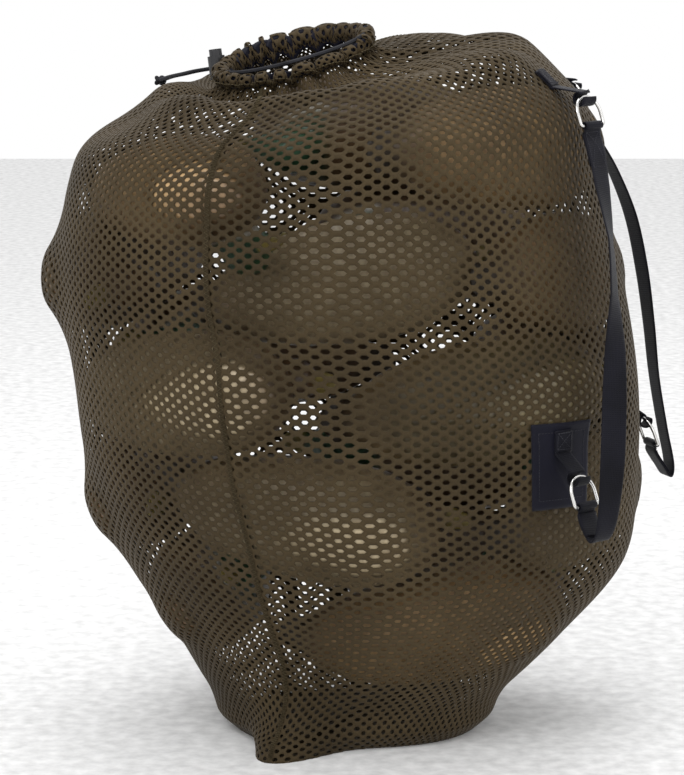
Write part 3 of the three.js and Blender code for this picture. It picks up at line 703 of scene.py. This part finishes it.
def gathers(v, bearings):
    """Folds that the drawn mouth makes, deepest at the rim."""
    angle = np.radians(bearings)[None]
    fold = 1.6 * np.abs(np.cos(fold_phase(bearings)[None] / 2)) ** 0.8 - 0.9
    size = 1 + 0.35 * np.sin(4 * angle + 1.2)
    depth = np.exp(-((v / 0.13) ** 2))[:, None]
    broad = np.sin(7 * angle + 0.8 * np.sin(2 * angle)) * np.exp(-(((v - 0.15) / 0.11) ** 2))[:, None]
    front = np.exp(-(((bearings + 92) / 13) ** 2))[None] * np.exp(-(((v - 0.09) / 0.09) ** 2))[:, None]
    return mm * (6.0 * fold * size * depth + 4.5 * broad - 13 * front)


def fold_phase(bearings):
    angle = np.radians(bearings)
    return 23 * angle + 1.9 * np.sin(3 * angle + 0.6) + 1.1 * np.sin(5 * angle + 2.0)


def fold_shape(bearings):
    """How far each gather stands out, from 0 to 1."""
    return np.abs(np.cos(fold_phase(bearings) / 2)) ** 0.7


def mouth_directions(round_way):
    """The ways out of the mouth and up its side, square to the way round it."""
    out = unit(np.cross(round_way, [0, 0, 1.0]))
    return out, np.cross(out, round_way)


def base_line(row):
    """The bottom seam across a level row: its two ends, its direction and the way across it."""
    first, second = row[0], row[round_columns // 2]
    line = unit(second - first)
    return first, second, line, np.array([-line[1], line[0], 0.0])


def hem_height(bearings):
    """The hem stands higher on the far side of the mouth."""
    return casing_height * (0.78 + 0.2 * np.sin(np.radians(bearings) - 0.2))


def rolled_hem(rim, bearings):
    """The net rolled over the casing: rows from inside the mouth, over its top, to the rim."""
    round_way = unit(np.roll(rim, -6, axis=0) - np.roll(rim, 6, axis=0))
    out, along = mouth_directions(round_way)
    fold = fold_shape(bearings)
    turn = np.radians(np.linspace(*hem_roll, hem_rows + 1))[:-1, None]
    half_width = (6.4 + 3.0 * fold)[None] * mm
    half_height = (hem_height(bearings) / 2)[None] * (0.9 + 0.15 * fold[None])
    sideways = -np.cos(turn) * half_width
    rise = half_height * (1 + 1.05 * np.sin(turn))
    return rim[None] + out[None] * sideways[..., None] + along[None] * rise[..., None]


def net_grid(decoys):
    """The settled net as a grid of points: rows down the wall and then in across the base."""
    v = np.linspace(0, 1, wall_rows)
    bearings = seam_bearing + np.arange(round_columns) * 360 / round_columns
    places = np.broadcast_to(v[:, None], (wall_rows, round_columns))
    wall = smooth_surface(places, np.broadcast_to(bearings[None], places.shape))
    normals = grid_normals(wall)
    inward = settle(wall, normals, decoys, v)
    wall = wall + normals * (gathers(v, bearings) - inward)[..., None]
    wall[..., 2] = np.maximum(wall[..., 2], 0)
    wall[-1, :, 2] = 0
    hem = rolled_hem(wall[0], bearings)
    first, _, _, side = base_line(wall[-1])
    away = (wall[-1] - first) @ side
    shares = np.arange(1, base_rows + 1) / base_rows
    base = wall[-1][None] - side[None, None] * away[None, :, None] * shares[:, None, None]
    return np.concatenate([hem, wall, base])


def read_grid(values, row, column):
    """A value between grid points; columns run round."""
    rows = values.shape[0]
    r = np.clip(row, 0, rows - 1.000001)
    r0 = np.floor(r).astype(int)
    c0 = np.floor(column).astype(int)
    fr, fc = (r - r0)[..., None], (column - c0)[..., None]
    c0 = c0 % round_columns
    c1 = (c0 + 1) % round_columns
    top = values[r0, c0] * (1 - fc) + values[r0, c1] * fc
    bottom = values[r0 + 1, c0] * (1 - fc) + values[r0 + 1, c1] * fc
    return top * (1 - fr) + bottom * fr


def on_net(v, bearing, lift=0.0):
    """A point on the settled net, lifted off it, and the direction out of it there."""
    row = hem_rows + np.asarray(v, dtype=float) * (wall_rows - 1)
    column = (np.asarray(bearing, dtype=float) - seam_bearing) % 360
    row, column = np.broadcast_arrays(row, column)
    out = unit(read_grid(net_normals, row, column))
    return read_grid(net_points, row, column) + out * lift, out


def lattice_rows():
    """Grid rows at even steps of one hole row along the net, from the rim to the bottom seam."""
    steps = np.linalg.norm(np.diff(net_points, axis=0), axis=2).mean(axis=1)
    run = np.concatenate([[0], np.cumsum(steps)])
    count = int(run[-1] / hole_row)
    return np.interp(np.arange(count + 1) * run[-1] / count, run, np.arange(len(run)))


def add_net():
    """The knitted net: staggered holes with cloth between them, both faces and the holes' walls."""
    rows = lattice_rows()
    last = len(rows) - 1
    cloth = np.array([[1, 1], [3, 0], [1, -1], [-1, -1], [-3, 0], [-1, 1]]) * [1 / 8, 1]
    hole = np.array([[0.12, 0.43], [0.23, 0], [0.12, -0.43], [-0.12, -0.43], [-0.23, 0], [-0.12, 0.43]])
    per_piece = hole_columns // net_pieces
    for number in range(net_pieces):
        i, j = np.meshgrid(np.arange(per_piece) + number * per_piece, np.arange(1, last), indexing="ij")
        i, j = i.ravel(), j.ravel()
        centre = np.stack([i + 0.5 * (j % 2), j.astype(float)], axis=1)
        wobble = 1 + 0.08 * np.sin(i * 12.9898 + j * 78.233)
        outer = centre[:, None] + cloth[None]
        inner = centre[:, None] + hole[None] * wobble[:, None, None]
        keys = np.round(outer.reshape(-1, 2) * [8, 1]).astype(np.int64)
        unique, index = np.unique(keys, axis=0, return_inverse=True)
        flat = np.vstack([unique / [8, 1], inner.reshape(-1, 2)])
        edge = index.reshape(-1, 6)
        rim = len(unique) + np.arange(len(inner) * 6).reshape(-1, 6)
        total = len(flat)
        row = np.interp(flat[:, 1], np.arange(last + 1), rows)
        column = flat[:, 0] * round_columns / hole_columns
        points = read_grid(net_points, row, column % round_columns)
        out = unit(read_grid(net_normals, row, column % round_columns))
        points[:, 2] = np.maximum(points[:, 2], 0.0)
        corners = np.vstack([points, points - out * net_thickness])
        k = np.arange(6)
        nxt = (k + 1) % 6
        front = np.stack([edge[:, k], edge[:, nxt], rim[:, nxt], rim[:, k]], axis=-1).reshape(-1, 4)
        back = front[:, ::-1] + total
        walls = np.stack([rim[:, k], rim[:, nxt], rim[:, nxt] + total, rim[:, k] + total], axis=-1)
        walls = walls.reshape(-1, 4)
        sides = np.stack([edge[:, k], edge[:, nxt]], axis=-1).reshape(-1, 2)
        used = np.sort(sides, axis=1)
        pairs, times = np.unique(used, axis=0, return_counts=True)
        lone = {tuple(pair) for pair in pairs[times == 1]}
        ends = [(a, b) for a, b in sides if (min(a, b), max(a, b)) in lone]
        ends = np.array([(b, a, a + total, b + total) for a, b in ends])
        faces = np.vstack([front, back, walls, ends])
        mesh = bpy.data.meshes.new(f"net_{number + 1}")
        mesh.vertices.add(len(corners))
        mesh.vertices.foreach_set("co", corners.astype(np.float32).ravel())
        mesh.loops.add(faces.size)
        mesh.loops.foreach_set("vertex_index", faces.astype(np.int32).ravel())
        mesh.polygons.add(len(faces))
        mesh.polygons.foreach_set("loop_start", np.arange(0, faces.size, 4, dtype=np.int32))
        mesh.update(calc_edges=True)
        mesh.validate()
        mesh.materials.append(materials["net"])
        mesh.shade_smooth()
        flat_u = (flat[:, 0] - number * per_piece + 1) / (per_piece + 2)
        flat_v = flat[:, 1] / last
        front_map = np.stack([0.01 + 0.98 * flat_u, 0.01 + 0.48 * flat_v], axis=1)
        maps = np.vstack([front_map, front_map + [0, 0.5]])
        loop_map = maps[faces.ravel()]
        wall_loops = slice((len(front) + len(back)) * 4, None)
        loop_map[wall_loops] = front_map[faces.ravel()[wall_loops] % total]
        set_loop_map(mesh, "OFBake", loop_map)
        thing = bpy.data.objects.new(f"net_{number + 1}", mesh)
        bpy.context.scene.collection.objects.link(thing)
        panel = "strap_side_panel" if number < net_pieces // 2 else "plain_panel"
        keep(thing, "sack", "net", panel)


# ---------------------------------------------------------------- what every piece needs

def keep(thing, body, slot, *nodes):
    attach(thing, body)
    if nodes:
        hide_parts(*nodes)


# ---------------------------------------------------------------- seams and mouth

def add_side_seam(name, bearing, node):
    """The joined selvedges: a folded ridge that stands a little proud, overlocked with thread."""
    v = np.linspace(0.02, 0.985, 150)
    middle, out = on_net(v, bearing + 0.35 * np.sin(v * 40), -1.5 * mm)
    across = np.cross(out, tangents(middle))
    outline = np.array([[-2.6, -6], [2.2, -6], [2.8, 0.4], [1.9, 2.0], [-1.4, 2.4], [-2.9, 0.6]]) * mm
    ridge = sweep(name, middle, across, outline, materials["seam"])
    keep(ridge, "sack", "seam", node)
    run = np.linspace(0.02, 0.985, 420)
    zig = np.where(np.arange(len(run)) % 2 == 0, 1.0, -1.0)
    line, lift = on_net(run, bearing + 0.35 * np.sin(run * 40), 1.1 * mm)
    aside = unit(np.cross(lift, tangents(line)))
    thread = line + aside * zig[:, None] * 2.4 * mm
    loops = sweep(f"{name}_thread", thread, lift, circle_outline(0.45 * mm, 5), materials["thread"])
    keep(loops, "sack", "seam")


def add_bottom_seam():
    first, second, line, side = base_line(net_points[-1])
    along = np.linspace(14 * mm, np.linalg.norm(second - first) - 14 * mm, 60)
    middle = first + line * along[:, None] + np.array([0, 0, 3.4 * mm])
    wave = np.sin(along * 90)[:, None] * side * 0.5 * mm
    outline = np.array([[-2.3, -2.6], [2.3, -2.6], [1.6, 4.5], [-1.6, 4.5]]) * mm
    ridge = sweep("bottom_ridge", middle + wave, np.tile(side, (60, 1)), outline, materials["seam"])
    keep(ridge, "sack", "seam", "bottom_seam")


def rim_line(bearings, rise):
    """Points round the gathered rim, raised along it, with the direction out of the mouth."""
    base, _ = on_net(0.0, bearings)
    before, _ = on_net(0.0, bearings - 4)
    after, _ = on_net(0.0, bearings + 4)
    out, along = mouth_directions(unit(after - before))
    return base + along * rise, out, along


def add_casing():
    """The drawcord's sleeve: a soft band inside the rolled net, folded into the gathers. Its near-black
    colour is partly the sleeve's own dark cloth and partly painted shade for the dark inside of the mouth and
    behind the roll's holes.
    """
    bearings = 159 + np.linspace(0, 342, 420)
    base, out, along = rim_line(bearings, 0 * mm)
    fold = fold_shape(bearings)
    outside, inside = [], []
    for share in np.linspace(0, 1, 9):
        swell = (3.6 + 1.0 * math.sin(math.pi * share)) * mm
        lift = share * hem_height(bearings) * (0.86 + 0.1 * fold)
        shape = base + along * lift[:, None]
        outside.append(shape + out * (swell * (0.5 + 0.5 * fold))[:, None])
        inside.append(shape - out * (swell * (0.9 + 0.1 * fold) + 2.0 * mm)[:, None])
    rings = np.array(outside + inside[::-1]).transpose(1, 0, 2)
    hem = add_object("mouth_hem", rings.reshape(-1, 3), tube_faces(*rings.shape[:2]), materials["hem"])
    smooth = hem.modifiers.new("soft", "SUBSURF")
    smooth.levels = smooth.render_levels = 1
    keep(hem, "sack", "seam", "mouth_casing")
    line, lift, _ = rim_line(bearings, 5.0 * mm)
    line = line + lift * (6.4 * mm + 3.0 * mm * fold + 0.8 * mm)[:, None]
    row = stitches("hem_stitches", line, lift, 2.6 * mm, 1.0 * mm, 0.35 * mm, materials["thread"])
    keep(row, "sack", "seam")


def add_cords():
    """The two free ends of the drawcord and the knot that joins them."""
    for name, side in (("a", -1), ("b", 1)):
        points = np.array(tail_route) + tail_across * side * cord_spacing / 2
        beyond = points[-1] + unit(points[-1] - points[-2]) * tail_end
        path = smooth_route(np.vstack([points, beyond]), 8)
        outline = circle_outline(cord_diameter / 2, 14)
        tail = sweep(f"cord_end_{name}", path, frames_along(path), outline, materials["cord"])
        keep(tail, "sack", "cord", f"drawcord_tail_{name}")
    end = np.array(tail_route[-1]) + unit(np.array(tail_route[-1]) - np.array(tail_route[-2])) * 6.2 * mm
    turns = np.linspace(0, 2 * np.pi, 121)[:-1]
    ring = 3.6 * mm
    wrap = np.stack([(1 + 0.42 * np.cos(3 * turns)) * np.cos(2 * turns),
                     (1 + 0.42 * np.cos(3 * turns)) * np.sin(2 * turns),
                     0.9 * np.sin(3 * turns)], axis=1) * ring + end
    knot = sweep("cord_knot", wrap, np.tile([0.2, 0.1, 1.0], (120, 1)), circle_outline(1.9 * mm, 10),
                 materials["cord"], closed=True)
    keep(knot, "sack", "cord", "tail_knot")


# ---------------------------------------------------------------- straps, rings, tabs and patches

def side_directions(side):
    angle = math.radians(side["faces"])
    out = np.array([math.cos(angle), math.sin(angle), 0])
    across = np.array([-out[1], out[0], 0])
    lean = out * math.sin(ring_lean) + np.array([0, 0, -math.cos(ring_lean)])
    return out, across, lean


def add_ring(name, side, end):
    out, across, lean = side_directions(side)
    crown = np.array(side[end])
    arc = lambda x, y, r, a, b, n: [(x + r * math.cos(math.radians(t)), y + r * math.sin(math.radians(t)))
                                    for t in np.linspace(a, b, n)]
    corner_x, corner_y = ring_half_width - ring_corner, ring_corner - ring_length
    outline = (arc(0, -ring_half_width, ring_half_width, 0, 180, 33)
               + arc(-corner_x, corner_y, ring_corner, 180, 270, 9)
               + arc(corner_x, corner_y, ring_corner, 270, 360, 9))
    points = np.array([crown + across * x - lean * y for x, y in outline])
    plane = np.cross(across, lean)
    widths = np.cross(tangents(points, True), plane)
    thing = sweep(f"{name}_{end}_dee", points, widths, circle_outline(ring_wire / 2, 16),
                  materials["steel"], closed=True)
    keep(thing, f"{name}_{end}_ring_body", "steel", f"{name}_{end}_ring")


def eye_points(middle, across, radius, start, turn, count):
    """Points round a bar, from a start angle; 0 degrees is straight out from it."""
    side = unit(np.cross([0, 0, 1.0], across))
    angles = np.radians(np.linspace(start, start + turn, count))
    up = np.array([0, 0, 1.0])
    return middle + radius * (np.cos(angles)[:, None] * side + np.sin(angles)[:, None] * up)


def box_stitches(name, points, widths, normals, half_width, body, material):
    """A sewn box with a cross in it, over a stretch of webbing."""
    edge = lambda share: points + widths * (share * half_width)
    lines = [edge(-0.8), edge(0.8)]
    shares = np.linspace(-0.8, 0.8, 8)
    ends = [np.array([points[k] + widths[k] * s * half_width for s in shares]) for k in (0, -1)]
    slant = np.linspace(-0.8, 0.8, len(points))[:, None] * half_width
    lines += ends + [points + widths * slant, points - widths * slant]
    rows = []
    for k, line in enumerate(lines):
        if k in (2, 3):
            lift = np.tile(normals[0 if k == 2 else -1], (len(line), 1))
        else:
            lift = normals
        rows.append(stitches(f"{name}_{k}", line, lift, 2.2 * mm, 0.8 * mm, 0.32 * mm, material))
    thing = merged(name, rows)
    keep(thing, body, "webbing")


def strap_stations(name):
    side = strap_sides[name]
    out, across, lean = side_directions(side)
    top = np.array(side["upper"]) + lean * ring_length
    bottom = np.array(side["lower"]) + lean * ring_length
    reach = ring_wire / 2 + bar_clearance + webbing_thickness / 2
    up = np.array([0, 0, 1.0])
    points = [top - up * reach, top - up * (reach + strap_straight)]
    twists = [0, 0]
    for share, outward, twist in strap_routes[name]:
        points.append(top + (bottom - top) * share + out * outward * mm)
        twists.append(twist)
    points += [bottom - up * (reach + strap_straight), bottom - up * reach]
    twists += [0, 0]
    return np.array(points), np.array(twists, dtype=float), top, bottom, out, across, reach


def add_strap(name):
    points, twists, top, bottom, out, across, reach = strap_stations(name)
    steps = 10
    route = smooth_route(points, steps)
    turn = np.radians(np.interp(np.arange(len(route)) / steps, np.arange(len(twists)), twists))
    widths = across * np.cos(turn)[:, None] + np.cross([0, 0, 1.0], across) * np.sin(turn)[:, None]
    outline = flat_outline(webbing_width, webbing_thickness)
    parts = [sweep(f"{name}_webbing", route, widths, outline, materials["webbing"])]
    for bar in (top, bottom):
        loop = eye_points(bar, across, reach, -90, 330, 34)
        parts.append(sweep(f"{name}_eye", loop, np.tile(across, (len(loop), 1)), outline,
                           materials["webbing"]))
    body = f"{name}_strap_body"
    for label, stretch in (("top", slice(6, 26)), ("low", slice(len(route) - 26, len(route) - 6))):
        piece = route[stretch]
        face = np.cross(tangents(piece), widths[stretch])
        doubled = piece - face * webbing_thickness * 1.02
        parts.append(sweep(f"{name}_{label}_fold", doubled, widths[stretch], outline, materials["webbing"]))
        normal = face * (1 if (face[0] @ out) > 0 else -1)
        box_stitches(f"{name}_{label}_box", piece + normal * webbing_thickness * 0.5, widths[stretch], normal,
                     webbing_width / 2, body, materials["thread_dark"])
    thing = merged(f"{name}_webbing", parts)
    keep(thing, body, "webbing", f"{name}_strap")


def add_tab(name, end):
    """Webbing folded round the ring's bow and sewn down on the sack."""
    side = strap_sides[name]
    out, across, lean = side_directions(side)
    bearing = float(side[f"{end}_bearing"])
    crown = np.array(side[end])
    middle = crown + np.array([0, 0, -tab_eye_drop])
    reach = tab_eye_radius + webbing_thickness / 2
    foot = place_of_height(bearing, crown[2])
    places = np.linspace(foot, foot - 0.3, 200)
    start, _ = on_net(foot, bearing)
    climbed, normal = on_net(places, bearing)
    distance = np.linalg.norm(climbed - start, axis=1)
    share = np.linspace(0.42, 1.0, 14) * tab_sewn_length
    lifted = 3.1 * mm if end == "upper" else 4.3 * mm
    v_at = np.interp(share, distance, places)
    sewn, outward = on_net(v_at, bearing, lifted)
    loop = eye_points(middle, across, reach, -200, 290, 26)
    line = np.vstack([loop, sewn])
    line = smooth_route(line[::2], 4)
    nearer, _ = on_net(v_at, bearing + 1.0)
    before, _ = on_net(v_at, bearing - 1.0)
    flat = unit(nearer - before).mean(axis=0)
    blend = np.clip((np.arange(len(line)) / len(line) - 0.55) / 0.2, 0, 1)[:, None]
    widths = unit(across * (1 - blend) + flat * blend)
    outline = flat_outline(tab_width, webbing_thickness * 1.05)
    upper = sweep(f"{name}_{end}_loop", line, widths, outline, materials["webbing"])
    under = sweep(f"{name}_{end}_under", sewn - outward * webbing_thickness * 1.08,
                  np.tile(flat, (len(sewn), 1)), outline, materials["webbing"])
    thing = merged(f"{name}_{end}_loop", [upper, under])
    keep(thing, "sack", "webbing", f"{name}_{end}_tab")
    sewn_part = slice(3, 13)
    box_stitches(f"{name}_{end}_tab_box", (sewn + outward * webbing_thickness * 0.55)[sewn_part],
                 np.tile(flat, (10, 1)), outward[sewn_part], tab_width / 2, "sack", materials["thread_dark"])


def add_patch(name):
    """A doubled square of pack cloth behind the lower ring, turned in and stitched at its edge."""
    side = strap_sides[name]
    bearing = side["lower_bearing"]
    top_height = side["lower"][2] + tab_sewn_length + 8 * mm
    degrees_per_metre = 180 / (math.pi * sack_half[1])
    count = patch_grid
    s = np.linspace(-0.5, 0.5, count)
    t = np.linspace(0, 1, count)
    places = np.array([place_of_height(bearing, top_height - patch_height * k) for k in t])
    v = np.broadcast_to(places[:, None], (count, count))
    b = bearing + np.broadcast_to(s[None], (count, count)) * patch_width * degrees_per_metre
    ss, tt = np.meshgrid(s + 0.5, t)
    crease = np.exp(-(((tt - 1.15 * ss - 0.12) / 0.035) ** 2))
    puff = 0.8 * np.sin(np.pi * ss) * np.sin(np.pi * tt)
    edge = np.minimum.reduce([ss, 1 - ss, tt, 1 - tt])
    hem = np.clip(1 - np.abs(edge - 0.03) / 0.04, 0, 1)
    lift = (1.6 + puff + 0.9 * crease + 0.5 * hem) * mm
    front, out = on_net(v, b)
    front = front + out * lift[..., None]
    back = front - out * 1.3 * mm
    index = np.arange(count * count).reshape(count, count)
    cells = np.stack([index[:-1, :-1], index[1:, :-1], index[1:, 1:], index[:-1, 1:]], axis=-1).reshape(-1, 4)
    round_edge = np.concatenate([index[0, :], index[1:, -1], index[-1, -2::-1], index[-2:0:-1, 0]])
    ahead = np.roll(round_edge, -1)
    total = count * count
    sides = np.stack([round_edge, ahead, ahead + total, round_edge + total], axis=-1)
    faces = np.vstack([cells, cells[:, ::-1] + total, sides])
    thing = add_object(f"{name}_reinforcement", np.vstack([front.reshape(-1, 3), back.reshape(-1, 3)]), faces,
                       materials["nylon"])
    woven = np.stack([ss.ravel() * patch_width, tt.ravel() * patch_height], axis=1)
    set_point_map(thing, "Weave", np.vstack([woven, woven]))
    keep(thing, "sack", "nylon", f"{name}_patch")
    inset = 3
    walk = np.concatenate([index[inset, inset:-inset], index[inset + 1:-inset, -inset - 1],
                           index[-inset - 1, -inset - 2:inset - 1:-1], index[-inset - 2:inset:-1, inset]])
    points, normals = front.reshape(-1, 3)[walk], out.reshape(-1, 3)[walk]
    points, normals = np.vstack([points, points[:1]]), np.vstack([normals, normals[:1]])
    row = stitches(f"{name}_patch_stitches", points, normals, 2.4 * mm, 1.1 * mm, 0.33 * mm,
                   materials["thread_dark"])
    keep(row, "sack", "nylon")


# ---------------------------------------------------------------- build

add_camera()
add_world(1.0)
add_area_light("key", (-0.9, -2.2, 2.6), (0, 0, 0.4), (1.6, 1.6), 38)
add_area_light("fill", (2.2, -1.6, 1.4), (0, 0, 0.4), (1.4, 1.4), 8)
add_area_light("top", (0.1, 0.5, 2.9), (0, 0, 0.5), (1.8, 1.8), 30)

materials = {
    "net": cloth_material("net_cloth", (0.030, 0.0205, 0.009), (0.060, 0.042, 0.020), 0.66, 7, 900,
                          sheen=0.06),
    "seam": cloth_material("seam_cloth", (0.024, 0.0165, 0.0075), (0.042, 0.030, 0.0145), 0.75, 20, 700,
                           (1.4 * mm, 1.9 * mm)),
    # The sleeve's near-black cloth is partly its own colour and partly painted shade for the inside of the
    # mouth.
    "hem": cloth_material("hem_cloth_painted_shade", (0.002, 0.002, 0.005), (0.006, 0.006, 0.013), 0.6, 30, 800,
                          sheen=0.05),
    "cord": cloth_material("braided_cord", (0.01, 0.01, 0.012), (0.03, 0.03, 0.035), 0.7, 40, 900,
                           (1.3 * mm, 1.8 * mm)),
    "webbing": cloth_material("webbing_cloth", (0.0022, 0.0022, 0.0045), (0.006, 0.006, 0.011), 0.55, 25, 900,
                              (1.7 * mm, 2.1 * mm), sheen=0.06),
    "nylon": cloth_material("pack_cloth", (0.0022, 0.0022, 0.006), (0.007, 0.007, 0.015), 0.5, 18, 800,
                            (0.9 * mm, 0.9 * mm), 0.15 * mm, 0.06),
    "thread": cloth_material("olive_thread", (0.06, 0.047, 0.024), (0.10, 0.08, 0.045), 0.6, 60, 1500),
    "thread_dark": cloth_material("black_thread", (0.02, 0.02, 0.025), (0.05, 0.05, 0.06), 0.5, 60, 1500),
    "steel": metal_material("nickel_plate", (0.78, 0.77, 0.75), 0.16),
    "spring": metal_material("spring_wire", (0.6, 0.6, 0.62), 0.25),
    "lock": plastic_material("lock_plastic", (0.016, 0.016, 0.018), 0.42),
    "floor": plastic_material("pale_floor", (0.86, 0.86, 0.86), 0.85),
}
materials["decoy"] = decoy_material()

add_cords()
decoys = add_decoys()
net_points = net_grid(decoys)
net_normals = grid_normals(net_points)
net_normals[hem_rows + wall_rows + 1:] = (0, 0, -1)
add_net()
add_side_seam("front_ridge", seam_bearing, "front_seam")
add_side_seam("back_ridge", seam_bearing + 180, "back_seam")
add_bottom_seam()
add_casing()
for strap_name, strap_side in strap_sides.items():
    add_strap(strap_name)
    add_patch(strap_name)
    for ring_end in ("upper", "lower"):
        add_ring(strap_name, strap_side, ring_end)
        add_tab(strap_name, ring_end)

for node, finish in (("drawcord_loop", "cord"), ("cord_lock_body", "lock"), ("cord_lock_button", "lock"),
                     ("cord_lock_spring", "spring")):
    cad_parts[node].material_slots[0].material = materials[finish]

floor_corners = [(x * floor_half, y * floor_half, 0) for x, y in ((-1, -1), (1, -1), (1, 1), (-1, 1))]
floor = add_object("floor", floor_corners, [(0, 1, 2, 3)], materials["floor"])
